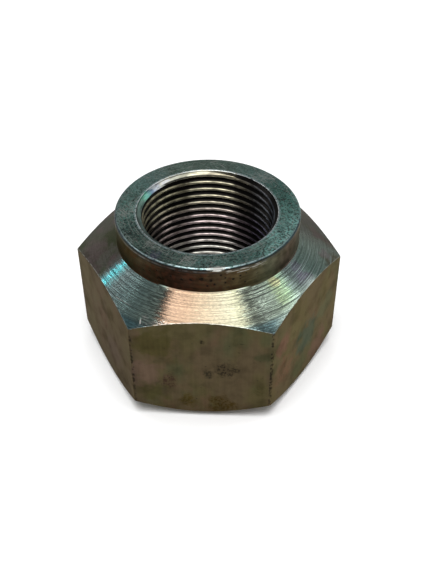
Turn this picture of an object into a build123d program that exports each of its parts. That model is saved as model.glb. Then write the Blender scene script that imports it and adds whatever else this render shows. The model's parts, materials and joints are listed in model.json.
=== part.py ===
from build123d import *
import math
import os

# A heavy threaded nut, turned from hexagon bar: a short round collar, a broad conical
# shoulder below it, and a smaller cone at the foot. Sizes are in millimetres and angles
# in degrees. The origin is the centre of the bearing face, +Z points up out of the
# collar, and one flat of the hexagon faces -Y.

# The metric thread, right hand, whose turns are cut into the bore.
thread_diameter = 24.0
thread_pitch = 1.5

# The hexagon bar and the height of the finished nut.
across_flats = 41.0
corner_radius = 0.3
nut_height = 30.0

# The turned collar. Its wall is measured outside the thread's nominal diameter.
collar_wall = 4.0
collar_height = 5.0
collar_rim_chamfer = 0.35
collar_root_radius = 0.3

# The two cones that cut the hexagon's ends, as slopes from the level. The bearing face
# left inside the foot cone ends this far in from the flats.
shoulder_slope = 30.0
foot_slope = 35.0
bearing_face_inset = 1.5

# The countersink at each end of the thread: its full angle, and how far its mouth
# clears the thread's nominal radius.
countersink_angle = 120.0
countersink_clearance = 0.4

# Radii and heights that follow from the sizes above. The hole drilled for a metric
# thread is as wide as the thread's nominal diameter less its pitch.
bore_radius = (thread_diameter - thread_pitch) / 2
mouth_radius = thread_diameter / 2 + countersink_clearance
countersink_depth = (mouth_radius - bore_radius) / math.tan(math.radians(countersink_angle / 2))
collar_radius = thread_diameter / 2 + collar_wall
shoulder_top = nut_height - collar_height
bearing_face_radius = across_flats / 2 - bearing_face_inset


# The radius and height at which the foot cone and the shoulder cone would meet, well
# outside the hexagon's corners.
def cones_meeting_point():
    foot_rise = math.tan(math.radians(foot_slope))
    shoulder_fall = math.tan(math.radians(shoulder_slope))
    from_foot = bearing_face_radius * foot_rise
    from_shoulder = shoulder_top + collar_radius * shoulder_fall
    radius = (from_foot + from_shoulder) / (foot_rise + shoulder_fall)
    return radius, (radius - bearing_face_radius) * foot_rise


# Everything that the lathe leaves on the outside: the foot cone, the shoulder cone and
# the collar, with the collar's rim chamfered and its root rounded.
def turned_outside():
    root = (collar_radius, shoulder_top)
    rim = (collar_radius, nut_height)
    section = Polygon(
        (0, 0),
        (bearing_face_radius, 0),
        cones_meeting_point(),
        root,
        rim,
        (0, nut_height),
    )
    section = fillet(section.vertices().sort_by_distance(root)[0], collar_root_radius)
    section = chamfer(section.vertices().sort_by_distance(rim)[0], collar_rim_chamfer)
    return revolve(Plane.XZ * section, Axis.Z)


# The hexagon bar, its corners slightly rounded.
def hexagon_bar():
    outline = RegularPolygon(across_flats / 2, 6, major_radius=False)
    outline = fillet(outline.vertices(), corner_radius)
    return extrude(outline, nut_height)


# The hole drilled for the thread, countersunk at both ends.
def countersunk_bore():
    section = Polygon(
        (0, 0),
        (mouth_radius, 0),
        (bore_radius, countersink_depth),
        (bore_radius, nut_height - countersink_depth),
        (mouth_radius, nut_height),
        (0, nut_height),
    )
    return revolve(Plane.XZ * section, Axis.Z)


# The cones cut the flats in curved edges, which are lowest at the corners on the
# shoulder and highest there at the foot.
def nut_body():
    return (hexagon_bar() & turned_outside()) - countersunk_bore()


os.makedirs("parts", exist_ok=True)
export_step(nut_body(), "parts/nut_body.step")
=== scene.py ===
import bpy
import json
import math
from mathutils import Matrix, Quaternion, Vector


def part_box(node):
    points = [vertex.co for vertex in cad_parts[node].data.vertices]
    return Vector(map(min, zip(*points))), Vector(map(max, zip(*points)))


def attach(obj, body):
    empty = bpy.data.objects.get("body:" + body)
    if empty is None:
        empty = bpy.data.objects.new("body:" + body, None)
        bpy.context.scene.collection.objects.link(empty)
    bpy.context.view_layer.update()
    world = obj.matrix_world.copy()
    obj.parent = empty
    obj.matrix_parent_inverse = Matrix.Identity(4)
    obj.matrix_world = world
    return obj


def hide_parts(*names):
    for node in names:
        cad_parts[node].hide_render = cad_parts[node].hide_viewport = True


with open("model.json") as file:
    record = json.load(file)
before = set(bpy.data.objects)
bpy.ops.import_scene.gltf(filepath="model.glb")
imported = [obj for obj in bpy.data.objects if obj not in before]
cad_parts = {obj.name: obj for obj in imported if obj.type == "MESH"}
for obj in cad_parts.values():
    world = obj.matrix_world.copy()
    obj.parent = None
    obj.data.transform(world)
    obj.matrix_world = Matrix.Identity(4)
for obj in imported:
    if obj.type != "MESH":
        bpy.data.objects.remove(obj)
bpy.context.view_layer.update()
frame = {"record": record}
mm = 0.001
mounts = {mount["name"]: mount for mount in frame["record"]["mounts"]}
print("frame loaded")


# Small helpers for working as by hand

def pickOnly(piece):
    bpy.ops.object.select_all(action="DESELECT")
    piece.select_set(True)
    bpy.context.view_layer.objects.active = piece


def applyModifier(piece, kind, settings):
    pickOnly(piece)
    modifier = piece.modifiers.new(kind.lower(), kind)
    for name, value in settings.items():
        setattr(modifier, name, value)
    bpy.ops.object.modifier_apply(modifier=modifier.name)


def carve(piece, tool, operation):   # the tool is used up
    applyModifier(piece, "BOOLEAN", {"object": tool, "operation": operation, "solver": "EXACT"})
    bpy.data.objects.remove(tool)


def polyline(name, points):   # a chain of edges in the XZ plane from (radius, height) points
    bpy.ops.object.select_all(action="DESELECT")
    bpy.ops.mesh.primitive_plane_add(size=mm)
    piece = bpy.context.object
    piece.name = name
    bpy.ops.object.mode_set(mode="EDIT")
    bpy.ops.mesh.select_mode(type="VERT")
    bpy.ops.mesh.select_all(action="SELECT")
    bpy.ops.mesh.merge(type="CENTER")
    radius, height = points[0]
    bpy.ops.transform.translate(value=(radius, 0, height))
    for nextRadius, nextHeight in points[1:]:
        step = (nextRadius - radius, 0, nextHeight - height)
        bpy.ops.mesh.extrude_vertices_move(TRANSFORM_OT_translate={"value": step})
        radius, height = nextRadius, nextHeight
    bpy.ops.object.mode_set(mode="OBJECT")
    return piece


def pickEdges(piece, chosen):   # in edit mode: keeps the selected edges whose ends pass a test
    bpy.ops.object.mode_set(mode="OBJECT")
    mesh = piece.data
    picked = [edge.select and chosen(*[mesh.vertices[i].co for i in edge.vertices]) for edge in mesh.edges]
    mesh.vertices.foreach_set("select", [False] * len(mesh.vertices))
    mesh.polygons.foreach_set("select", [False] * len(mesh.polygons))
    mesh.edges.foreach_set("select", picked)
    bpy.ops.object.mode_set(mode="EDIT")


def rounded(corners, parts=3):   # (radius, height, fillet) corners turned into a chain of points
    points = []
    for i, (radius, height, fillet) in enumerate(corners):
        corner = Vector((radius, height))
        if fillet == 0:
            points.append(corner)
            continue
        before = (Vector(corners[i - 1][:2]) - corner).normalized()
        after = (Vector(corners[i + 1][:2]) - corner).normalized()
        half = before.angle(after) / 2
        centre = corner + (before + after).normalized() * fillet / math.sin(half)
        first = corner + before * fillet / math.tan(half) - centre
        last = corner + after * fillet / math.tan(half) - centre
        points += [centre + first.slerp(last, step / parts) * fillet for step in range(parts + 1)]
    return points


def cleanShell(mergeGap):   # in edit mode: one closed skin with its faces outwards
    bpy.ops.mesh.select_all(action="SELECT")
    bpy.ops.mesh.remove_doubles(threshold=mergeGap)
    bpy.ops.mesh.normals_make_consistent(inside=False)


def lathe(name, corners, steps):
    piece = polyline(name, rounded(corners))
    bpy.ops.object.mode_set(mode="EDIT")
    bpy.ops.mesh.select_all(action="SELECT")
    bpy.ops.mesh.spin(steps=steps, angle=math.tau, center=(0, 0, 0), axis=(0, 0, 1))
    cleanShell(mm / 10000)
    bpy.ops.object.mode_set(mode="OBJECT")
    return piece


# Camera, at the photo's angle

cameraSet = {
    "azimuth": 3.664,      # degrees, as the other angles; to the right of the flat that faces the camera
    "elevation": 35.909,
    "distance": 145.861 * mm,      # from the middle of the collar's top
    "pan": -0.303,
    "tilt": -5.611,
    "roll": 0.634,
    "lens": 51.986,      # focal length in millimetres
    "nearest": 10 * mm,
}


def turned(azimuth, x, y, z):   # a vector given as right, away and up, seen from that azimuth
    a = math.radians(azimuth)
    return Vector((x * math.cos(a) - y * math.sin(a), x * math.sin(a) + y * math.cos(a), z))


def addCamera():
    e = math.radians(cameraSet["elevation"])
    top = Vector((0, 0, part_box("nut_body")[1].z))
    back = turned(cameraSet["azimuth"], 0, -math.cos(e), math.sin(e))
    bpy.ops.object.camera_add(location=top + back * cameraSet["distance"])
    camera = bpy.context.object
    camera.name = "camera"
    camera.rotation_mode = "QUATERNION"
    aim = (-back).to_track_quat("-Z", "Y")
    aim = aim @ Quaternion((0, 1, 0), math.radians(cameraSet["pan"]))
    aim = aim @ Quaternion((1, 0, 0), math.radians(cameraSet["tilt"]))
    camera.rotation_quaternion = aim @ Quaternion((0, 0, -1), math.radians(cameraSet["roll"]))
    camera.data.lens = cameraSet["lens"]
    camera.data.clip_start = cameraSet["nearest"]
    bpy.context.scene.camera = camera
    print("camera placed")


# Node trees written as sums

class Wire:   # a node's output that Python can reckon with
    def __init__(self, nodes, socket):
        self.nodes = nodes
        self.socket = socket

    def maths(self, operation, first, second=0.0):
        return self.nodes.add("ShaderNodeMath", {"operation": operation}, {0: first, 1: second})

    def other(self, output):   # another output of the same node
        return Wire(self.nodes, self.socket.node.outputs[output])

    def __add__(self, value):
        return self.maths("ADD", self, value)

    def __sub__(self, value):
        return self.maths("SUBTRACT", self, value)

    def __rsub__(self, value):
        return self.maths("SUBTRACT", value, self)

    def __mul__(self, value):
        return self.maths("MULTIPLY", self, value)

    def __truediv__(self, value):
        return self.maths("DIVIDE", self, value)

    def __pow__(self, value):
        return self.maths("POWER", self, value)

    def __abs__(self):
        return self.maths("ABSOLUTE", self)

    def __neg__(self):
        return self.maths("MULTIPLY", self, -1.0)

    __radd__ = __add__
    __rmul__ = __mul__


class NodeTree:
    def __init__(self, tree):
        self.tree = tree

    def add(self, kind, settings, inputs, output=0):
        node = self.tree.nodes.new(kind)
        for name, value in settings.items():
            if name == "stops":
                self.setStops(node.color_ramp, value)
            else:
                setattr(node, name, value)
        for place, value in inputs.items():
            self.feed(node.inputs[place], value)
        return Wire(self, node.outputs[output])

    def feed(self, socket, value):
        if isinstance(value, Wire):
            self.tree.links.new(value.socket, socket)
        elif socket.type == "RGBA":
            socket.default_value = (*value, 1)
        else:
            socket.default_value = value

    def setStops(self, ramp, stops):
        while len(ramp.elements) < len(stops):
            ramp.elements.new(0.5)
        for element, (place, colour) in zip(ramp.elements, stops):
            element.position = place
            element.color = (*colour, 1)

    def mix(self, amount, first, second, way="MIX"):   # colours
        settings = {"data_type": "RGBA", "blend_type": way}
        return self.add("ShaderNodeMix", settings, {0: amount, 6: first, 7: second}, output=2)

    def scaled(self, vector, amount):   # a colour or a vector times a value
        return self.add("ShaderNodeVectorMath", {"operation": "SCALE"}, {0: vector, 3: amount})

    def larger(self, first, second):
        return first.maths("MAXIMUM", first, second)

    def rise(self, value, low, high):   # 0 below low, 1 above high, smooth between
        return self.add("ShaderNodeMapRange", {"interpolation_type": "SMOOTHSTEP"},
                        {"Value": value, "From Min": low, "From Max": high})

    def band(self, value, low, high, soft):
        return self.rise(value, low - soft, low + soft) * (1 - self.rise(value, high - soft, high + soft))


# Floor and studio light

studio = {
    "floorSize": 8.0,
    "floorColour": (0.86, 0.86, 0.86),
    "floorRoughness": 0.9,
    "lightDistance": 0.60,
    "lights": [
        # name, direction (right, away, up), width, depth, radiance
        ("overhead", (-0.045, -0.33, 0.94), 0.47, 0.30, 5.2),
        ("leftStrip", (-0.64, 0.36, 0.67), 0.04, 0.30, 6.5),
        ("rightStrip", (0.55, 0.12, 0.82), 0.07, 0.30, 3.6),
        ("lowRight", (0.84, 0.25, 0.48), 0.16, 0.20, 1.2),
    ],
    "floorSun": 1.75,      # lights the floor alone, and isn't seen in the metal
    "sunSpread": 40,      # degrees
    # sine of the height, brightness
    "skyStops": [(0.0, 1.0), (0.06, 0.86), (0.25, 0.6), (0.5, 0.38), (0.8, 0.25), (1.0, 0.22)],
}


def addFloor():
    bpy.ops.mesh.primitive_plane_add(size=studio["floorSize"])
    floor = bpy.context.object
    floor.name = "floor"
    paint = bpy.data.materials.new("paleFloor")
    paint.use_nodes = True
    shader = paint.node_tree.nodes["Principled BSDF"]
    shader.inputs["Base Color"].default_value = (*studio["floorColour"], 1)
    shader.inputs["Roughness"].default_value = studio["floorRoughness"]
    floor.data.materials.append(paint)


def addLights():
    for name, direction, width, depth, radiance in studio["lights"]:
        place = turned(cameraSet["azimuth"], *direction).normalized() * studio["lightDistance"]
        bpy.ops.object.light_add(type="AREA", location=place)
        light = bpy.context.object
        light.name = name
        light.rotation_mode = "QUATERNION"
        light.rotation_quaternion = (-place).to_track_quat("-Z", "Y")
        light.data.shape = "RECTANGLE"
        light.data.size = width
        light.data.size_y = depth
        light.data.energy = radiance * math.pi * width * depth
    bpy.ops.object.light_add(type="SUN", location=(0, 0, 1))
    sun = bpy.context.object
    sun.name = "floorSun"
    sun.data.energy = studio["floorSun"]
    sun.data.angle = math.radians(studio["sunSpread"])
    sun.visible_glossy = False


def addSky():
    world = bpy.data.worlds.new("studio")
    bpy.context.scene.world = world
    world.use_nodes = True
    nodes = NodeTree(world.node_tree)
    direction = nodes.add("ShaderNodeTexCoord", {}, {}, output="Generated")
    height = nodes.add("ShaderNodeSeparateXYZ", {}, {0: direction}, output="Z")
    stops = [(place, (glow,) * 3) for place, glow in studio["skyStops"]]
    colour = nodes.add("ShaderNodeValToRGB", {"stops": stops}, {0: height})
    nodes.feed(world.node_tree.nodes["Background"].inputs["Color"], colour)
    bpy.context.scene.view_settings.view_transform = "Standard"


# The nut's finishes: turned or drawn steel under an iridescent yellow zinc passivation

class Finish(NodeTree):   # a material whose nodes know the places on the nut, in millimetres and degrees
    def __init__(self, name, grain, rimTint):
        self.material = bpy.data.materials.new(name)
        self.material.use_nodes = True
        super().__init__(self.material.node_tree)
        self.shader = self.tree.nodes["Principled BSDF"]
        self.shader.inputs["Metallic"].default_value = 1
        self.shader.inputs["Specular Tint"].default_value = (*rimTint, 1)      # keeps grazing views dark
        self.shader.inputs["Anisotropic"].default_value = grain      # turned grooves draw a glint out
        self.shader.inputs["Anisotropic Rotation"].default_value = 0.25
        position = self.add("ShaderNodeTexCoord", {}, {}, output="Object")
        self.place = self.scaled(position, 1 / mm)
        self.x = self.add("ShaderNodeSeparateXYZ", {}, {0: self.place})
        self.y = self.x.other("Y")
        self.z = self.x.other("Z")
        self.radius = self.fromAxis(0)
        self.pastMouth = self.fromAxis(thread["mouthShift"]) - thread["mouth"] / mm
        self.azimuth = self.x.maths("ARCTAN2", self.x, -self.y) * math.degrees(1)   # right of the front
        self.backTurn = self.x.maths("ARCTAN2", -self.x, self.y) * math.degrees(1)   # left of the back

    def fromAxis(self, shift):   # distance from an upright axis that lies this far along X
        across = self.x - shift / mm
        return (across * across + self.y * self.y) ** 0.5

    def outwards(self):   # half the width across flats at this place
        lean = math.radians(30)
        along, aside = self.x * math.cos(lean), self.y * math.sin(lean)
        return self.larger(abs(self.y), self.larger(abs(along + aside), abs(along - aside)))

    def noise(self, size, seed, detail=3, place=None):
        return self.add("ShaderNodeTexNoise", {"noise_dimensions": "4D"},
                        {"Vector": place or self.place, "W": seed, "Scale": 1 / size, "Detail": detail})

    def blotches(self, size, seed, low, high, detail=3):   # noise with a sharper edge
        return self.rise(self.noise(size, seed, detail), low, high)

    def dots(self, spacing, reach, seed):   # round spots, their size a part of the spacing
        away = self.add("ShaderNodeTexVoronoi", {"voronoi_dimensions": "4D"},
                        {"Vector": self.place, "W": seed, "Scale": 1 / spacing}, "Distance")
        return 1 - self.rise(away, reach * 0.75, reach)

    def rings(self, width, length, seed, detail=2):   # marks that run round the nut
        spread = 20 / length      # their length is true 20 mm from the axis
        place = self.add("ShaderNodeCombineXYZ", {}, {0: self.x / self.radius * spread,
                                                      1: self.y / self.radius * spread,
                                                      2: (self.radius - self.z) / width})
        return self.noise(1, seed, detail, place)

    def turnMarks(self, width, length, seed, low, high, detail=2):   # rings with a sharper edge
        return self.rise(self.rings(width, length, seed, detail), low, high)

    def streaks(self, width, length, turn, seed):   # straight marks across a level face
        place = self.add("ShaderNodeMapping", {"vector_type": "TEXTURE"},
                         {"Vector": self.place, "Rotation": (0, 0, math.radians(turn)),
                          "Scale": (length, width, width)})
        return self.noise(1, seed, 2, place)

    def arc(self, low, high, soft):   # 1 between two azimuths, counted from the front to the right
        return self.band(self.azimuth, low, high, soft)

    def backArc(self, low, high, soft):   # the same, counted from the back to the left
        return self.band(self.backTurn, low, high, soft)

    def around(self, stops, azimuth):   # colours by azimuth
        spread = [((angle + 180) / 360, colour) for angle, colour in stops]
        turn = (azimuth + 180) / 360
        return self.add("ShaderNodeValToRGB", {"stops": spread}, {0: turn.maths("FRACT", turn)})

    def away(self, spot):   # distance from a spot on the nut
        return self.add("ShaderNodeVectorMath", {"operation": "DISTANCE"}, {0: self.place, 1: spot}, "Value")

    def near(self, spot, reach, ragged=0.0):   # 1 at a spot on the nut, 0 from that far away
        return 1 - self.rise(self.away(spot) / reach + ragged, 0.4, 1.0)

    def drawnOut(self, factors):   # places for a pattern that is longer one way
        return self.add("ShaderNodeVectorMath", {"operation": "MULTIPLY"}, {0: self.place, 1: factors})

    def lay(self, colour, roughness, height):   # height in millimetres
        self.feed(self.shader.inputs["Base Color"], colour)
        self.feed(self.shader.inputs["Roughness"], roughness)
        bump = self.add("ShaderNodeBump", {}, {"Height": height, "Distance": mm})
        self.feed(self.shader.inputs["Normal"], bump)
        return self.material


steel = {
    "bare": (0.55, 0.56, 0.52),      # where the plating is rubbed through
    "cut": (1.0, 0.99, 0.94),
    "pit": (0.012, 0.010, 0.008),
}
shoulder = {
    "lit": (-61, 94),      # degrees from the front between which the turned face shines
    "highlightSector": (-24, 26),      # and the brightest stretch of its highlight
    "feed": 0.56,      # how far the tool moved in each turn
    "cornerRadii": (21.6, 22.6),      # where the tips by the corners turn blue
    "rootHighlightRadii": (16.10, 16.34),      # the painted highlight at the root under the collar
    "wornEdge": (20.3, 20.46),      # from here outwards the plating is rubbed
    "scratch": (20.12, 20.2),      # its radii
    "nickAcross": (-9.99, -9.76),      # where the nick starts and ends along x
    "nickAlong": (-19.92, -19.15),      # and along y
    "graze": (-9.1, -19.0, 21.95),
    # iridescent tints, partly painted highlight and shade: lighter where the lamps' highlights fall on the
    # turned face, in the front sector and in the cyan and yellow-green streaks, and darker between them
    "tints": [
        # degrees from the front, colour
        (-180, (0.086, 0.075, 0.058)), (-130, (0.068, 0.062, 0.056)), (-110, (0.065, 0.061, 0.056)),
        (-90, (0.094, 0.095, 0.074)), (-78, (0.092, 0.092, 0.072)), (-70, (0.120, 0.114, 0.098)),
        (-62, (0.108, 0.110, 0.102)), (-59.5, (0.075, 0.160, 0.172)), (-57, (0.060, 0.268, 0.290)),
        (-54.5, (0.075, 0.185, 0.190)), (-50, (0.104, 0.134, 0.132)), (-42, (0.138, 0.196, 0.190)),
        (-33, (0.200, 0.290, 0.270)), (-22, (0.230, 0.290, 0.250)), (-19.5, (0.236, 0.162, 0.113)),
        (-8, (0.212, 0.147, 0.099)), (2, (0.224, 0.182, 0.126)), (12, (0.240, 0.226, 0.163)),
        (20, (0.304, 0.310, 0.214)), (24, (0.380, 0.436, 0.346)), (30, (0.338, 0.406, 0.338)),
        (38, (0.254, 0.318, 0.252)), (42, (0.262, 0.340, 0.208)), (47, (0.264, 0.374, 0.244)),
        (51, (0.160, 0.225, 0.180)), (56, (0.130, 0.165, 0.158)), (70, (0.150, 0.222, 0.196)),
        (84, (0.168, 0.218, 0.188)), (96, (0.125, 0.136, 0.124)), (108, (0.086, 0.082, 0.074)),
        (180, (0.086, 0.075, 0.058)),
    ],
    "lines": [
        # degrees from the front, how strongly the turned lines show, as a grey
        (-180, (0.45,) * 3), (-100, (0.15,) * 3), (-63, (0.12,) * 3), (-58, (0.9,) * 3), (-52, (0.5,) * 3),
        (-24, (0.6,) * 3), (-16, (0.24,) * 3), (18, (0.24,) * 3), (26, (0.9,) * 3), (50, (1.0,) * 3),
        (56, (0.5,) * 3), (86, (0.35,) * 3), (102, (0.15,) * 3), (180, (0.45,) * 3),
    ],
    "olive": (0.060, 0.076, 0.040),
    "purple": (0.122, 0.090, 0.092),
    "glint": (0.30, 0.38, 0.36),
    "tip": (0.070, 0.166, 0.200),
    "edge": (0.40, 0.50, 0.44),
    "patches": [
        # place, reach, colour
        ((-16.8, -1.1, 24.5), 3.6, (0.040, 0.052, 0.022)),
        ((-20.0, -2.6, 22.6), 3.4, (0.128, 0.098, 0.098)),
        ((-21.9, -3.6, 21.4), 2.0, (0.070, 0.060, 0.050)),
        ((16.9, -9.4, 23.0), 2.2, (0.128, 0.120, 0.158)),
        ((15.2, -8.0, 24.0), 1.6, (0.118, 0.124, 0.150)),
        ((11.6, -12.0, 24.7), 1.3, (0.330, 0.330, 0.190)),
        ((-17.0, -11.4, 22.5), 1.1, (0.10, 0.46, 0.50)),
        ((22.0, -2.2, 21.5), 2.6, (0.094, 0.082, 0.052)),
        ((20.6, -1.5, 22.2), 1.5, (0.190, 0.180, 0.178)),
    ],
}


def shoulderFinish():
    finish = Finish("shoulderFinish", 0.95, (0.7, 0.7, 0.65))
    outer = finish.outwards()
    dashes = finish.rings(0.22, 1.8, 1, 4)
    # the tints by azimuth, partly painted highlight and shade
    colour = finish.around(shoulder["tints"], finish.azimuth + (dashes - 0.5) * 13)
    dull = 1 - finish.arc(*shoulder["lit"], 4)
    for name, seed in (("olive", 7), ("purple", 8)):
        colour = finish.mix(finish.blotches(2.6, seed, 0.46, 0.62, 5) * dull * 0.75, colour, shoulder[name])
    ragged = (finish.noise(1.2, 57, 5) - 0.5) * 2
    for place, reach, tint in shoulder["patches"]:
        colour = finish.mix(finish.near(place, reach, ragged) * 0.8, colour, tint)
    tips = finish.rise(finish.radius + finish.rise(finish.azimuth, 0, 20) * 0.5, *shoulder["cornerRadii"])
    colour = finish.mix(tips * finish.arc(-40, 40, 8) * 0.7, colour, shoulder["tip"])
    pale = finish.rise(outer, 18.9, 20.3) * finish.arc(33, 66, 4)
    colour = finish.mix(pale * 0.6, colour, shoulder["edge"])
    # the turned lines
    middle = finish.rings(0.46, 40, 3, 1)
    fine = finish.rings(0.23, 24, 4, 1)
    grain = finish.rings(0.28, 0.45, 5, 3)
    feed = finish.radius * (math.tau / shoulder["feed"]) + finish.rings(1.6, 14, 70, 1) * 7
    grooves = finish.rise(feed.maths("SINE", feed), 0.85, 0.35)
    lines = finish.rise(middle, 0.42, 0.52) * 0.12 + finish.rise(fine, 0.45, 0.52) * 0.46 + grooves * 0.42
    depth = finish.around(shoulder["lines"], finish.azimuth)
    colour = finish.scaled(colour, (lines - 0.5) * depth * 1.3 + 1)
    colour = finish.scaled(colour, 0.8 + finish.rise(grain, 0.3, 0.7) * 0.35)
    glints = finish.turnMarks(0.27, 9, 10, 0.57, 0.60, 1) * finish.arc(50, 86, 4)
    colour = finish.mix(glints * 0.9, colour, shoulder["glint"])
    # painted highlight and shade: the colour is speckled lighter and darker where the highlight's ends break
    # up along the grooves
    highlightEnds = finish.arc(-30, -18, 4) + finish.arc(19, 34, 4)
    highlightSpeckle = finish.turnMarks(0.17, 1.1, 9, 0.42, 0.58) - 0.5
    colour = finish.scaled(colour, highlightSpeckle * highlightEnds * 0.75 + 1)
    # painted highlight: the root under the collar is lightened where the highlight's brightest stretch falls
    root = (1 - finish.rise(finish.radius, *shoulder["rootHighlightRadii"])) * finish.arc(*shoulder["highlightSector"], 4)
    colour = finish.scaled(colour, root * 1.2 + 1)
    # wear
    rubbed = finish.rise(outer, *shoulder["wornEdge"]) * finish.blotches(0.8, 5, 0.3, 0.6) * 0.45
    specks = finish.rise(outer, 19.4, 20.2) * finish.arc(-26, -16, 3)
    rubbed = finish.larger(rubbed, specks * finish.blotches(0.24, 6, 0.52, 0.58, 1) * 0.8)
    scratch = finish.band(finish.radius + finish.azimuth * 0.008, *shoulder["scratch"], 0.04)
    rubbed = finish.larger(rubbed, scratch * finish.arc(-45, -35, 1) * 0.6)
    graze = finish.near(shoulder["graze"], 0.8, ragged * 0.5)
    rubbed = finish.larger(rubbed, graze * finish.rise(grain, 0.44, 0.54) * 0.8)
    nick = finish.band(finish.x, *shoulder["nickAcross"], 0.05)
    nick = nick * finish.band(finish.y, *shoulder["nickAlong"], 0.08)
    colour = finish.mix(rubbed, colour, steel["bare"])
    colour = finish.mix(nick, colour, steel["cut"])
    height = (middle * 0.008 + fine * 0.036 + grooves * 0.004 + grain * 0.008) * (1 - dull * 0.75)
    return finish.lay(colour, 0.16 + grain * 0.06 + dull * 0.12 + nick * 0.25, height)


top = {
    "tints": [
        # degrees from the front, colour
        (-180, (0.104, 0.170, 0.139)), (-150, (0.104, 0.174, 0.141)), (-135, (0.140, 0.245, 0.225)),
        (-118, (0.135, 0.265, 0.240)), (-105, (0.090, 0.180, 0.155)), (-90, (0.110, 0.235, 0.205)),
        (-75, (0.082, 0.172, 0.148)), (-60, (0.042, 0.089, 0.077)), (-45, (0.042, 0.092, 0.074)),
        (-30, (0.050, 0.093, 0.082)), (-15, (0.056, 0.110, 0.093)), (0, (0.095, 0.190, 0.170)),
        (15, (0.069, 0.165, 0.138)), (30, (0.070, 0.160, 0.142)), (45, (0.122, 0.252, 0.220)),
        (60, (0.180, 0.355, 0.325)), (75, (0.150, 0.315, 0.285)), (90, (0.105, 0.245, 0.215)),
        (105, (0.074, 0.205, 0.175)), (120, (0.056, 0.155, 0.130)), (135, (0.088, 0.190, 0.175)),
        (150, (0.099, 0.184, 0.165)), (165, (0.104, 0.176, 0.143)), (180, (0.104, 0.170, 0.139)),
    ],
    "dust": (0.13, 0.12, 0.11),
    "turquoise": (0.36, 0.74, 0.68),
    "turquoiseSpot": (11.3, -6.4, 30),
    # colour of the painted highlight along the rim and the mouth's edge
    "rim": (0.44, 0.58, 0.60),
    "rimHighlightRadii": (15.74, 15.92),      # painted highlight: the bright line along the edge
    "rimWear": (0.24, 0.33, 0.30),
    # colour of the painted shade over the rim's chamfer
    "chamfer": (0.030, 0.038, 0.046),
    "chamferShadeRadii": (15.90, 15.98),
    "violet": (0.105, 0.110, 0.170),
    "violetSpot": (-7.8, -12.8, 30),
    "scratchTurns": (12, 64, 128, 155),      # degrees
    "scratched": [
        # place, reach
        ((-13.9, -1.0, 30), 2.6), ((-8.3, -9.8, 30), 2.0), ((-2.3, -14.0, 30), 1.8), ((9.5, 10.0, 30), 3),
    ],
    "dent": (2.3, -15.75, 29.9),
}


def topFinish():
    finish = Finish("topFinish", 0.5, (0.8, 0.8, 0.8))
    colour = finish.around(top["tints"], finish.azimuth + (finish.noise(2, 18) - 0.5) * 20)
    cloud = finish.blotches(2.2, 11, 0.36, 0.64, 5)
    coarse = finish.blotches(0.75, 58, 0.38, 0.62)
    grain = finish.noise(0.34, 15)
    mottle = cloud * 0.34 + coarse * 0.40 + finish.rise(grain, 0.45, 0.55) * 0.9
    mottle = mottle + finish.blotches(0.24, 64, 0.45, 0.56, 1) * 0.55
    behind = 1 - finish.arc(-112, 118, 14)      # where the mottling is weaker
    colour = finish.scaled(colour, (0.12 + mottle) * (1 - behind * 0.5) + behind * 0.56)
    colour = finish.mix(0.16, colour, top["dust"])
    colour = finish.mix(finish.near(top["violetSpot"], 1.8, coarse * 0.4) * 0.6, colour, top["violet"])
    sparkle = finish.arc(42, 84, 10) * finish.rise(finish.radius, 13.9, 14.7)
    sparkle = finish.larger(sparkle, finish.near(top["turquoiseSpot"], 1.6))
    sparkle = sparkle * finish.blotches(1.4, 19, 0.36, 0.52)
    colour = finish.mix(sparkle * finish.rise(grain, 0.47, 0.53), colour, top["turquoise"])
    # scratches and specks
    lines = finish.turnMarks(0.16, 10, 16, 0.60, 0.66) * 0.8
    scratched = 0.0
    for place, reach in top["scratched"]:
        scratched = finish.near(place, reach) + scratched
    for seed, turn in enumerate(top["scratchTurns"]):
        streak = finish.streaks(0.18, 2.2, turn, seed) + scratched * 0.08
        lines = finish.larger(lines, finish.rise(streak, 0.64, 0.70))
    teeth = finish.turnMarks(0.9, 0.24, 20, 0.54, 0.64) * finish.arc(-55, 50, 20)
    lines = finish.larger(lines, teeth * (1 - finish.rise(finish.radius, 13.2, 14.6)) * 0.6)
    specks = finish.blotches(0.24, 55, 0.60, 0.68, 2)
    colour = finish.mix(finish.larger(lines * 0.56, specks * 0.5), colour, steel["bare"])
    # the rim with its painted shade and painted highlight, the mouth's edge with a painted highlight, and the
    # dent
    front = finish.arc(-62, 70, 20)
    aside = 1 - finish.arc(-48, 48, 16)
    edge = finish.radius + aside * 0.16 + (finish.noise(1.1, 59, 4) - 0.5) * 0.16
    wear = finish.rise(edge, 15.1, 15.4) * finish.arc(-112, -48, 12)
    colour = finish.mix(wear * finish.rise(grain, 0.46, 0.54) * 0.7, colour, top["rimWear"])
    # painted shade: the rim's chamfer is darkened
    chamfer = finish.rise(edge, *top["chamferShadeRadii"]) * finish.arc(-130, 90, 13)
    colour = finish.mix(chamfer * 0.95, colour, top["chamfer"])
    # painted highlight: a bright line along the rim, strongest at the front, and along the mouth's edge,
    # broken up in patches
    rim = finish.band(edge, *top["rimHighlightRadii"], 0.05)
    mouth = 1 - finish.rise(finish.pastMouth, 0.14, 0.26)
    worn = finish.blotches(0.5, 13, 0.36, 0.56, 4)
    bright = finish.larger(rim * (0.2 + front * 0.75), mouth * 0.9) * worn
    colour = finish.mix(bright, colour, top["rim"])
    dented = finish.rise(finish.radius + finish.noise(0.5, 17, 4) * 1.3, 15.95, 16.15)
    dent = finish.near(top["dent"], 1.9, (finish.noise(0.3, 72, 2) - 0.5) * 2.4) * dented
    colour = finish.mix(dent, colour, steel["bare"])
    height = finish.rings(0.35, 20, 14) * 0.02 + cloud * 0.008 + grain * 0.014 - lines * 0.008
    return finish.lay(colour, 0.28 + cloud * 0.1, height)


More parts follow.
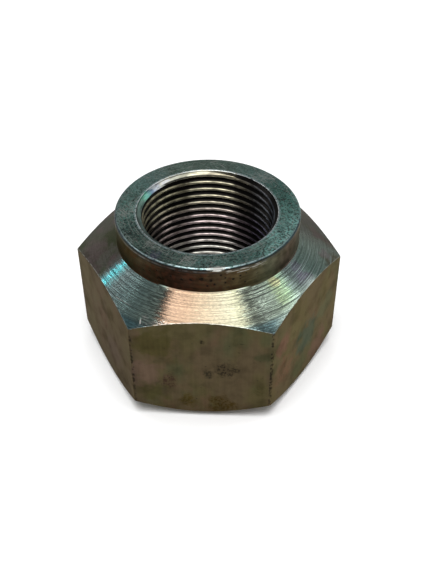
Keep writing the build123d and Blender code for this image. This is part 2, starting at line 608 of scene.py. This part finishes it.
collar = {
    "tints": [
        # degrees from the front, colour
        (-180, (0.075, 0.066, 0.052)), (-95, (0.046, 0.042, 0.038)), (-80, (0.026, 0.020, 0.017)),
        (-68, (0.026, 0.019, 0.016)), (-50, (0.033, 0.022, 0.014)), (-40, (0.040, 0.029, 0.018)),
        (-30, (0.030, 0.018, 0.010)), (-20, (0.022, 0.011, 0.007)), (-10, (0.030, 0.016, 0.010)),
        (0, (0.034, 0.019, 0.010)), (10, (0.053, 0.037, 0.020)), (20, (0.066, 0.047, 0.023)),
        (30, (0.063, 0.051, 0.027)), (40, (0.070, 0.070, 0.045)), (50, (0.080, 0.072, 0.050)),
        (58, (0.096, 0.068, 0.058)), (70, (0.112, 0.082, 0.076)), (85, (0.080, 0.082, 0.076)),
        (110, (0.075, 0.066, 0.052)), (180, (0.075, 0.066, 0.052)),
    ],
    "rust": (0.050, 0.018, 0.010),
    "rimShade": (0.010, 0.013, 0.013),
    "rimShadeFrom": (29.5, 29.6),      # the shade begins between these heights
    "lineHeights": (29.0, 29.13),      # a dark line of the same colour
    "rimGrey": (0.062, 0.066, 0.066),
    "rimGreyHeights": (29.2, 29.5),
    "chips": (0.36, 0.35, 0.31),
    "chipHeights": (28.65, 29.42),
    # heights of the painted highlight at the collar's root
    "rootHighlightHeights": (25.10, 25.26),
    "dent": (2.3, -15.85, 29.75),
    "pits": [
        # degrees from the front, height, reach
        (-18.6, 27.7, 0.25), (-11.9, 27.45, 0.32), (-6.4, 27.6, 0.42), (-0.2, 27.9, 0.42), (5.3, 27.6, 0.38),
        (7.0, 26.8, 0.26), (13.6, 26.95, 0.26), (18.1, 27.5, 0.30), (22.4, 27.3, 0.20),
    ],
}


def collarFinish():
    finish = Finish("collarFinish", 0.5, (0.6, 0.6, 0.5))
    colour = finish.around(collar["tints"], finish.azimuth + (finish.noise(3, 21) - 0.5) * 14)
    streaks = finish.turnMarks(0.5, 5, 22, 0.3, 0.7, 4)
    cloud = finish.blotches(1.3, 25, 0.38, 0.62, 5)
    colour = finish.scaled(colour, 0.46 + streaks * 0.54 + cloud * 0.46)
    rust = finish.blotches(0.9, 61, 0.50, 0.60, 4) * finish.arc(-75, 20, 10)
    colour = finish.mix(rust * 0.5, colour, collar["rust"])
    # the band under the rim: painted shade under its edge, a dark line, a patchy grey band and chips
    front = finish.arc(-100, 60, 12)
    patchy = finish.blotches(0.9, 27, 0.35, 0.6)
    grey = finish.band(finish.z, *collar["rimGreyHeights"], 0.08) * front * patchy
    greyTint = finish.scaled(collar["rimGrey"], finish.arc(-85, -36, 10) * 1.2 + 1)
    colour = finish.mix(grey * 0.8, colour, greyTint)
    line = finish.band(finish.z, *collar["lineHeights"], 0.05) * finish.arc(-45, 14, 6)
    # painted shade under the rim's edge
    line = finish.larger(line, finish.rise(finish.z, *collar["rimShadeFrom"]) * front)
    colour = finish.mix(line * 0.85, colour, collar["rimShade"])
    chips = finish.band(finish.z, *collar["chipHeights"], 0.06) * finish.arc(13, 38, 3)
    chips = chips * finish.turnMarks(0.2, 1.6, 71, 0.52, 0.60)
    colour = finish.mix(chips * 0.8, colour, collar["chips"])
    # pits and the dent
    pits = finish.dots(0.8, 0.30, 26) * finish.arc(-38, 32, 5) * finish.band(finish.z, 26, 29, 0.5)
    rough = (finish.noise(0.4, 28) - 0.5) * 1.6
    for azimuth, height, reach in collar["pits"]:
        pits = finish.larger(finish.near(turned(azimuth, 0, -16, height), reach, rough), pits)
    colour = finish.mix(pits * 0.85, colour, steel["pit"])
    jagged = (finish.noise(0.3, 73, 2) - 0.5) * 2.4
    dent = finish.near(collar["dent"], 1.3, jagged) * finish.rise(finish.z + jagged * 0.12, 29.42, 29.56)
    colour = finish.mix(dent * 0.9, colour, steel["bare"])
    # painted highlight: at its root the shoulder's highlight goes on, in the shoulder's tints scaled up
    root = (1 - finish.rise(finish.z, *collar["rootHighlightHeights"])) * finish.arc(*shoulder["highlightSector"], 4)
    colour = finish.mix(root, colour, finish.scaled(finish.around(shoulder["tints"], finish.azimuth), 3.2))
    height = finish.rings(0.3, 14, 24) * 0.02 - pits * 0.06
    return finish.lay(colour, 0.34 + pits * 0.3, height)


bore = {
    "cream": (0.52, 0.48, 0.34),
    "pink": (0.53, 0.43, 0.42),
    "white": (0.58, 0.56, 0.50),
    # painted shade in the thread's grooves
    "grooveShade": (0.014, 0.013, 0.012),
    # colour of the painted highlight along the mouth and of the glints
    "mouth": (0.85, 0.92, 0.92),
    # places in the countersink, in millimetres past its mouth
    "mouthHighlight": (-0.18, -0.12),      # the painted highlight along the mouth starts between these
    "lip": (-0.38, -0.14),      # a dark line just inside the mouth
    "runOutShade": (-0.88, -0.78),      # painted shade where the thread's first turn cuts in, between these
    "shade": [
        # degrees to the left of the back, how much of the crest's colour is left
        (-180, (0.3, 0.3, 0.3)), (-80, (0.17, 0.21, 0.36)), (-45, (0.24, 0.26, 0.38)),
        (-28, (0.66, 0.65, 0.70)), (-18, (1.0, 1.0, 1.0)), (20, (1.0, 1.0, 1.0)),
        (28, (0.8, 0.8, 0.76)), (60, (0.7, 0.72, 0.68)), (180, (0.3, 0.3, 0.3)),
    ],
    # painted highlights round the countersink: cream where the overhead light's reflection falls at the back,
    # blue and mint streaks to its left, dark elsewhere
    "sinkTintsAndHighlights": [
        # degrees to the left of the back, colour
        (-180, (0.06, 0.09, 0.09)), (-90, (0.035, 0.05, 0.055)), (-45, (0.030, 0.04, 0.055)),
        (-30, (0.06, 0.065, 0.075)), (-25, (0.17, 0.155, 0.12)), (-20, (0.42, 0.38, 0.27)),
        (0, (0.52, 0.48, 0.36)), (17, (0.72, 0.70, 0.53)), (33, (0.98, 0.98, 0.80)),
        (49, (1.0, 1.0, 0.90)), (56, (0.62, 0.70, 0.86)), (62, (0.30, 0.46, 0.62)),
        (67, (0.28, 0.72, 0.62)), (71, (0.36, 0.98, 0.72)), (78, (0.22, 0.38, 0.32)),
        (95, (0.145, 0.21, 0.185)), (120, (0.10, 0.15, 0.135)), (180, (0.06, 0.09, 0.09)),
    ],
}


def sinkFinish():   # the countersink under the rim
    finish = Finish("sinkFinish", 0.8, (0.8, 0.8, 0.8))
    turn = finish.backTurn + (finish.rings(0.5, 2, 34) - 0.5) * 14
    # the countersink's colour, with its painted highlights
    colour = finish.around(bore["sinkTintsAndHighlights"], turn)
    colour = finish.scaled(colour, 0.6 + finish.turnMarks(0.2, 3, 35, 0.35, 0.65) * 0.7)
    lipIn, lipOut = bore["lip"]
    towardsRight = finish.backArc(-150, -6, 14)      # where it is darker and wider
    lip = finish.rise(finish.pastMouth + towardsRight * 0.35, lipIn, lipIn + 0.08)
    lip = lip * (1 - finish.rise(finish.pastMouth, lipOut - 0.06, lipOut)) * (0.75 + towardsRight * 0.25)
    colour = finish.scaled(colour, 1 - lip * 0.95)
    # painted shade: darkened at the back where the thread's first turn cuts into the countersink
    runOutShade = (1 - finish.rise(finish.pastMouth, *bore["runOutShade"])) * finish.backArc(-40, 50, 6)
    colour = finish.scaled(colour, 1 - runOutShade * 0.92)
    glints = finish.turnMarks(0.25, 2.5, 38, 0.50, 0.60) * finish.backArc(46, 86, 8)
    colour = finish.mix(glints * 0.5, colour, bore["mouth"])
    # painted highlight: a bright line along the mouth's edge, broken up in patches
    worn = finish.blotches(0.4, 36, 0.36, 0.55)
    colour = finish.mix(finish.rise(finish.pastMouth, *bore["mouthHighlight"]) * worn, colour, bore["mouth"])
    return finish.lay(colour, 0.3 + worn * 0.1, finish.rings(0.2, 8, 37) * 0.006)


def threadFinish():
    finish = Finish("threadFinish", 0.95, (0.6, 0.6, 0.6))
    warm = finish.mix(finish.rise(finish.z, 20, 25), bore["pink"], bore["cream"])
    colour = finish.mix(finish.rise(finish.z, 13, 17), bore["white"], warm)
    colour = finish.mix(1.0, colour, finish.around(bore["shade"], finish.backTurn), "MULTIPLY")
    colour = finish.scaled(colour, 0.4 + finish.turnMarks(0.2, 2.5, 31, 0.3, 0.7) * 0.9)
    depth = finish.fromAxis(thread["shift"]) - thread["minor"] / mm
    left = finish.backArc(25, 90, 15) * 0.1      # the grooves look narrower there
    # painted shade: the grooves beyond the crests are darkened
    colour = finish.mix(finish.rise(depth - left, 0.08, 0.22), colour, bore["grooveShade"])
    height = finish.rings(0.25, 2.5, 32) * 0.008
    return finish.lay(colour, 0.28 + finish.noise(0.5, 33) * 0.1, height)


flats = {
    "olive": (0.064, 0.053, 0.025),
    "brown": (0.068, 0.051, 0.029),
    "red": (0.078, 0.048, 0.030),
    "green": (0.048, 0.053, 0.026),
    "shade": [
        # degrees from the front, what the colour is multiplied by
        (-180, (1.1, 1.1, 1.1)), (-90, (0.64, 0.64, 0.84)), (-34, (0.57, 0.56, 0.76)),
        (-27, (0.97, 0.98, 1.0)), (27, (1.0, 1.0, 1.0)), (34, (1.17, 1.22, 1.30)),
        (90, (1.17, 1.22, 1.30)), (180, (1.1, 1.1, 1.1)),
    ],
    "ring": (6.5, -20.5, 17.1),      # middle of a faint round mark
    "ringRadii": (0.95, 1.1),
    "cornerRadii": (23.46, 23.52),      # the worn line along each corner
    "stains": [
        # place, reach, colour, pitted
        ((4.1, -20.5, 12.0), 2.4, (0.018, 0.014, 0.009), True),
        ((1.0, -20.5, 10.8), 1.3, (0.022, 0.018, 0.011), True),
        ((-5.7, -20.5, 8.7), 2.3, (0.036, 0.022, 0.014), True),
        ((3.3, -20.5, 2.9), 3.2, (0.036, 0.023, 0.006), True),
        ((-2.4, -20.5, 4.1), 2.0, (0.042, 0.030, 0.008), True),
        ((-8.5, -20.5, 6.0), 3.0, (0.052, 0.046, 0.018), False),
        ((0.1, -20.5, 18.3), 0.6, (0.012, 0.010, 0.006), True),
        ((10.2, -20.5, 15.0), 1.8, (0.040, 0.040, 0.020), False),
        ((10.1, -20.5, 6.9), 1.6, (0.044, 0.038, 0.016), True),
        ((-8.0, -20.5, 17.4), 4.5, (0.044, 0.038, 0.013), False),
        ((-9.6, -20.5, 10.8), 4.0, (0.092, 0.060, 0.042), False),
        ((13.6, -17.5, 15.4), 3.0, (0.104, 0.052, 0.038), False),
        ((15.6, -14.0, 15.0), 2.6, (0.074, 0.066, 0.030), False),
        ((18.0, -9.8, 10.0), 4.6, (0.028, 0.049, 0.037), False),
        ((16.9, -11.6, 4.6), 3.4, (0.044, 0.052, 0.026), False),
        ((20.3, -5.9, 4.0), 4.0, (0.092, 0.052, 0.039), False),
        ((13.9, -16.9, 8.5), 4.0, (0.096, 0.050, 0.032), True),
        ((21.5, -3.8, 12.5), 3.5, (0.056, 0.060, 0.034), False),
        ((-15.8, -13.5, 7.9), 4.0, (0.074, 0.050, 0.040), False),
        ((-13.6, -17.2, 3.4), 3.6, (0.036, 0.024, 0.016), True),
        ((-18.2, -9.5, 13.2), 3.0, (0.080, 0.048, 0.032), False),
        ((0.5, 20.5, 12.0), 2.6, (0.040, 0.034, 0.022), True),
        ((-16.6, 12.1, 8.0), 3.0, (0.044, 0.036, 0.022), True),
    ],
}


def flatsFinish():
    finish = Finish("flatsFinish", 0.0, (0.66, 0.60, 0.50))
    # blotches and streaks run along the bar
    drawn = finish.drawnOut((1, 1, 0.55))
    streaks = finish.noise(1, 51, 2, finish.drawnOut((2, 2, 0.08)))
    colour = finish.mix(finish.rise(finish.noise(5, 41, 3, drawn), 0.4, 0.6), flats["olive"], flats["brown"])
    for name, size, seed in (("red", 3.6, 42), ("green", 4.2, 43)):
        cover = finish.rise(finish.noise(size, seed, 4, drawn), 0.52, 0.7)
        colour = finish.mix(cover * 0.7, colour, flats[name])
    # stains, of which some are pitted
    ragged = (finish.noise(1.5, 46, 5) - 0.5) * 2
    freckles = finish.blotches(0.34, 62, 0.46, 0.60, 1) * 0.55 + 0.45
    patch = 0.0
    for place, reach, stain, pitted in flats["stains"]:
        cover = finish.near(place, reach, ragged)
        colour = finish.mix(cover * (freckles if pitted else 0.8), colour, stain)
        if pitted:
            patch = cover + patch
    ring = finish.band(finish.away(flats["ring"]) + ragged * 0.3, *flats["ringRadii"], 0.08)
    colour = finish.scaled(colour, 1 - ring * finish.blotches(1.1, 63, 0.46, 0.56) * 0.5)
    colour = finish.mix(1.0, colour, finish.around(flats["shade"], finish.azimuth), "MULTIPLY")
    smudge = finish.blotches(2.8, 44, 0.42, 0.76)
    mottle = finish.blotches(1.0, 50, 0.4, 0.7, 2)
    colour = finish.scaled(colour, 1.13 - smudge * 0.26 - mottle * 0.10)
    colour = finish.scaled(colour, 0.94 + finish.rise(streaks, 0.3, 0.7) * 0.12)
    pits = finish.dots(0.6, 0.24, 45) * finish.rise(finish.noise(2.5, 67) + patch * 0.25, 0.52, 0.66) * 0.8
    chips = finish.dots(0.45, 0.62, 47) * finish.blotches(2.4, 52, 0.30, 0.44, 1)
    pits = finish.larger(pits, finish.rise(finish.radius, *flats["cornerRadii"]) * chips * 0.85)
    colour = finish.mix(pits, colour, steel["pit"])
    height = finish.noise(1.5, 48, 4) * 0.02 + finish.noise(0.25, 49, 2) * 0.004 - pits * 0.04
    return finish.lay(colour, 0.46 + smudge * 0.12, height)


foot = {
    "tints": [(-180, (0.13, 0.11, 0.07)), (-90, (0.10, 0.10, 0.07)), (0, (0.12, 0.10, 0.06)),
              (90, (0.11, 0.085, 0.06)), (180, (0.13, 0.11, 0.07))],
}


def footFinish():   # the foot cone and the bearing face, turned like the shoulder but dulled in handling
    finish = Finish("footFinish", 0.7, (0.7, 0.7, 0.6))
    tint = finish.around(foot["tints"], finish.azimuth + (finish.noise(4, 51) - 0.5) * 60)
    fine = finish.rings(0.25, 12, 52)
    mottle = finish.blotches(1.5, 53, 0.35, 0.7, 5)
    colour = finish.scaled(tint, 0.7 + fine * 0.5 + mottle * 0.3)
    return finish.lay(colour, 0.36 + mottle * 0.14, fine * 0.012 + mottle * 0.004)


def zoneOf(face):   # which finish a face of the nut takes
    close = 0.02 * mm      # a face this near to a surface lies on it
    soft = 0.1 * mm      # and this near, where an edge is rounded off
    level = 0.3      # a face whose normal rises by less than this stands upright
    middle = face.center
    distance = math.hypot(middle.x, middle.y)
    insideMouth = thread["mouth"] - math.hypot(middle.x - thread["mouthShift"], middle.y)
    if insideMouth > -close:
        facing = face.normal.dot(Vector((-middle.x, -middle.y, 0)).normalized())
        sloped = abs(facing - math.sin(thread["sinkSlope"])) < 0.03
        cone = nut["height"] - insideMouth * math.tan(thread["sinkSlope"])
        return "sink" if sloped and abs(middle.z - cone) < close else "thread"
    if middle.z < nut["height"] / 2 and face.normal.z < -level:
        return "foot"
    if outwards(middle) > nut["halfFlats"] - soft and abs(face.normal.z) < level:
        return "flats"
    if middle.z > nut["height"] - nut["rimChamfer"] - soft:
        return "top"
    if distance < nut["collarRadius"] + soft / 2:
        return "collar"
    return "shoulder"


def finishNut(body):
    body.data.materials.clear()
    finishes = {"shoulder": shoulderFinish(), "top": topFinish(), "collar": collarFinish(),
                "sink": sinkFinish(), "thread": threadFinish(), "flats": flatsFinish(),
                "foot": footFinish()}
    for material in finishes.values():
        body.data.materials.append(material)
    zones = list(finishes)
    for face in body.data.polygons:
        face.material_index = zones.index(zoneOf(face))
    print("finishes laid")


# The nut's form

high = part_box("nut_body")[1]
nut = {
    "height": high.z,
    "halfFlats": high.y,
    "cornerRound": 0.3 * mm,
    "collarRadius": mounts["collar"]["dims"]["r_mm"] * mm,
    "collarHeight": 5.0 * mm,
    "rimChamfer": 0.2 * mm,
    "rootRound": 0.3 * mm,
    "shoulderSlope": math.radians(30),
    "footSlope": math.radians(35),
    "bearingInset": 1.5 * mm,
    "edgeRound": 0.12 * mm,      # where an edge is worn off
    "sharp": math.radians(25),      # edges that turn by more stay sharp in the shading
    "steps": 240,
}
thread = {
    "major": 12.1 * mm,
    "minor": mounts["thread"]["dims"]["r_mm"] * mm + 0.08 * mm,      # still within the thread's tolerance
    "pitch": 1.5 * mm,
    "flankAngle": math.radians(30),
    "crestFlat": 0.34 * mm,
    "edgeRound": 0.06 * mm,
    "mouth": 12.37 * mm,
    "sinkSlope": math.radians(30),      # from the level
    "mouthShift": -0.08 * mm,      # the countersink's tool ran this far off the axis
    "mouthRound": 0.12 * mm,
    "shift": 0.12 * mm,      # the thread's axis, to the other side
    "crestAtZero": 0.47 * mm,      # height of a crest's middle above the foot, where x is positive and y zero
    "steps": 128,
    "spareTurns": 3,      # beyond each end of the nut, then cut off
}
blows = [
    # name, azimuth from the front, radius, height, half sizes across, tall and deep
    ("rimDent", 8.6, 16.0 * mm, 29.95 * mm, 1.5 * mm, 0.45 * mm, 0.22 * mm),
    ("shoulderNick", -27.6, 21.7 * mm, 21.76 * mm, 0.18 * mm, 0.20 * mm, 0.50 * mm),
]


def outwards(place):   # how far out a point lies, as half the width across flats there
    lean = math.radians(30)
    across = [abs(place.x * math.cos(lean) + place.y * math.sin(lean) * side) for side in (-1, 1)]
    return max(abs(place.y), *across)


def turnedOutside():
    collar = nut["collarRadius"]
    shoulderTop = nut["height"] - nut["collarHeight"]
    bearing = nut["halfFlats"] - nut["bearingInset"]
    chamfer = nut["rimChamfer"]
    soft = nut["edgeRound"]
    fall = math.tan(nut["shoulderSlope"])
    rise = math.tan(nut["footSlope"])
    widest = (bearing * rise + shoulderTop + collar * fall) / (rise + fall)
    corners = [(0, 0, 0), (bearing, 0, soft), (widest, (widest - bearing) * rise, 0),
               (collar, shoulderTop, nut["rootRound"]), (collar, nut["height"] - chamfer, soft),
               (collar - chamfer, nut["height"], soft), (0, nut["height"], 0)]
    return lathe("turnedOutside", corners, nut["steps"])


def hexagonBar():
    corner = nut["halfFlats"] / math.cos(math.pi / 6)
    bpy.ops.object.select_all(action="DESELECT")
    bpy.ops.mesh.primitive_cylinder_add(vertices=6, radius=corner, depth=nut["height"] * 1.2,
                                        location=(0, 0, nut["height"] / 2), rotation=(0, 0, math.pi / 6))
    bar = bpy.context.object
    bar.name = "nutBody"
    bpy.ops.object.transform_apply(location=True, rotation=True, scale=True)
    bpy.ops.object.mode_set(mode="EDIT")
    bpy.ops.mesh.select_mode(type="EDGE")
    bpy.ops.mesh.select_all(action="SELECT")
    pickEdges(bar, lambda first, second: abs(first.z - second.z) > nut["height"] / 2)
    # a fillet of this radius starts radius x tan(30 degrees) from the corner
    bpy.ops.mesh.bevel(offset=nut["cornerRound"] * math.tan(math.pi / 6), segments=3, affect="EDGES")
    bpy.ops.object.mode_set(mode="OBJECT")
    return bar


def countersink(top):
    mouth = thread["mouth"]
    face = nut["height"] if top else 0
    outside = mm if top else -mm
    tip = face - math.copysign(mouth * math.tan(thread["sinkSlope"]), outside)
    # past its mouth the tool rises a little, clear of the nut's face
    corners = [(0, tip, 0), (mouth, face, thread["mouthRound"]),
               (mouth + mm, face + outside / 10, 0), (mouth + mm, face + outside, 0), (0, face + outside, 0)]
    tool = lathe("countersink", corners, nut["steps"])
    tool.location.x = thread["mouthShift"]
    bpy.ops.object.transform_apply(location=True, rotation=False, scale=False)
    return tool


def threadTap():
    pitch = thread["pitch"]
    flat = thread["crestFlat"] / 2
    soft = thread["edgeRound"]
    minor, major = thread["minor"], thread["major"]
    flank = (major - minor) * math.tan(thread["flankAngle"])
    start = thread["crestAtZero"] - thread["spareTurns"] * pitch
    corners = [(minor, 0, 0), (minor, flat, soft), (major, flat + flank, soft),
               (major, pitch - flat - flank, soft), (minor, pitch - flat, soft), (minor, pitch, 0)]
    turns = math.ceil(nut["height"] / pitch) + 2 * thread["spareTurns"]
    tap = polyline("threadTap", rounded([(r, z + start, fillet) for r, z, fillet in corners], 2))
    applyModifier(tap, "SCREW", {"angle": math.tau, "screw_offset": pitch, "iterations": turns,
                                 "steps": thread["steps"], "render_steps": thread["steps"],
                                 "axis": "Z", "use_merge_vertices": False})
    bpy.ops.object.mode_set(mode="EDIT")
    for height, side in ((-mm, -1), (nut["height"] + mm, 1)):
        bpy.ops.mesh.select_all(action="SELECT")
        bpy.ops.mesh.remove_doubles(threshold=mm / 100)
        bpy.ops.mesh.bisect(plane_co=(0, 0, height), plane_no=(0, 0, side), use_fill=True, clear_outer=True,
                            threshold=mm / 10000)
    cleanShell(mm / 10000)
    bpy.ops.object.mode_set(mode="OBJECT")
    tap.location.x = thread["shift"]
    bpy.ops.object.transform_apply(location=True, rotation=False, scale=False)
    return tap


def dentTool(name, azimuth, radius, height, across, tall, deep):
    a = math.radians(azimuth - 90)
    bpy.ops.object.select_all(action="DESELECT")
    bpy.ops.mesh.primitive_ico_sphere_add(subdivisions=3, radius=1, rotation=(0, 0, a),
                                          location=(radius * math.cos(a), radius * math.sin(a), height))
    tool = bpy.context.object
    tool.name = name
    tool.scale = (deep, across, tall)
    bpy.ops.object.transform_apply(location=True, rotation=True, scale=True)
    return tool


def wearEdges(body):   # the curved edges where the cones cut the flats
    pickOnly(body)
    bpy.ops.object.mode_set(mode="EDIT")
    bpy.ops.mesh.select_mode(type="EDGE")
    bpy.ops.mesh.select_all(action="DESELECT")
    bpy.ops.mesh.edges_select_sharp(sharpness=nut["sharp"])
    edgeLine = nut["halfFlats"] - 0.05 * mm
    pickEdges(body, lambda first, second: min(outwards(first), outwards(second)) > edgeLine)
    bpy.ops.mesh.bevel(offset=nut["edgeRound"], segments=2, affect="EDGES", clamp_overlap=False)
    bpy.ops.object.mode_set(mode="OBJECT")


def makeNut():
    body = hexagonBar()
    carve(body, turnedOutside(), "INTERSECT")
    bpy.ops.object.mode_set(mode="EDIT")
    cleanShell(0.02 * mm)
    bpy.ops.object.mode_set(mode="OBJECT")
    print("hexagon turned")
    carve(body, countersink(True), "DIFFERENCE")
    carve(body, countersink(False), "DIFFERENCE")
    carve(body, threadTap(), "DIFFERENCE")
    print("thread cut")
    for blow in blows:
        carve(body, dentTool(*blow), "DIFFERENCE")
    wearEdges(body)
    print("edges worn")
    finishNut(body)
    pickOnly(body)
    bpy.ops.object.shade_smooth_by_angle(angle=nut["sharp"])
    applyModifier(body, "WEIGHTED_NORMAL", {"mode": "FACE_AREA", "weight": 100, "keep_sharp": True})
    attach(body, "root")
    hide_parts("nut_body")
    print("nut made:", len(body.data.polygons), "faces")


addCamera()
addFloor()
addLights()
addSky()
print("studio lit")
makeNut()
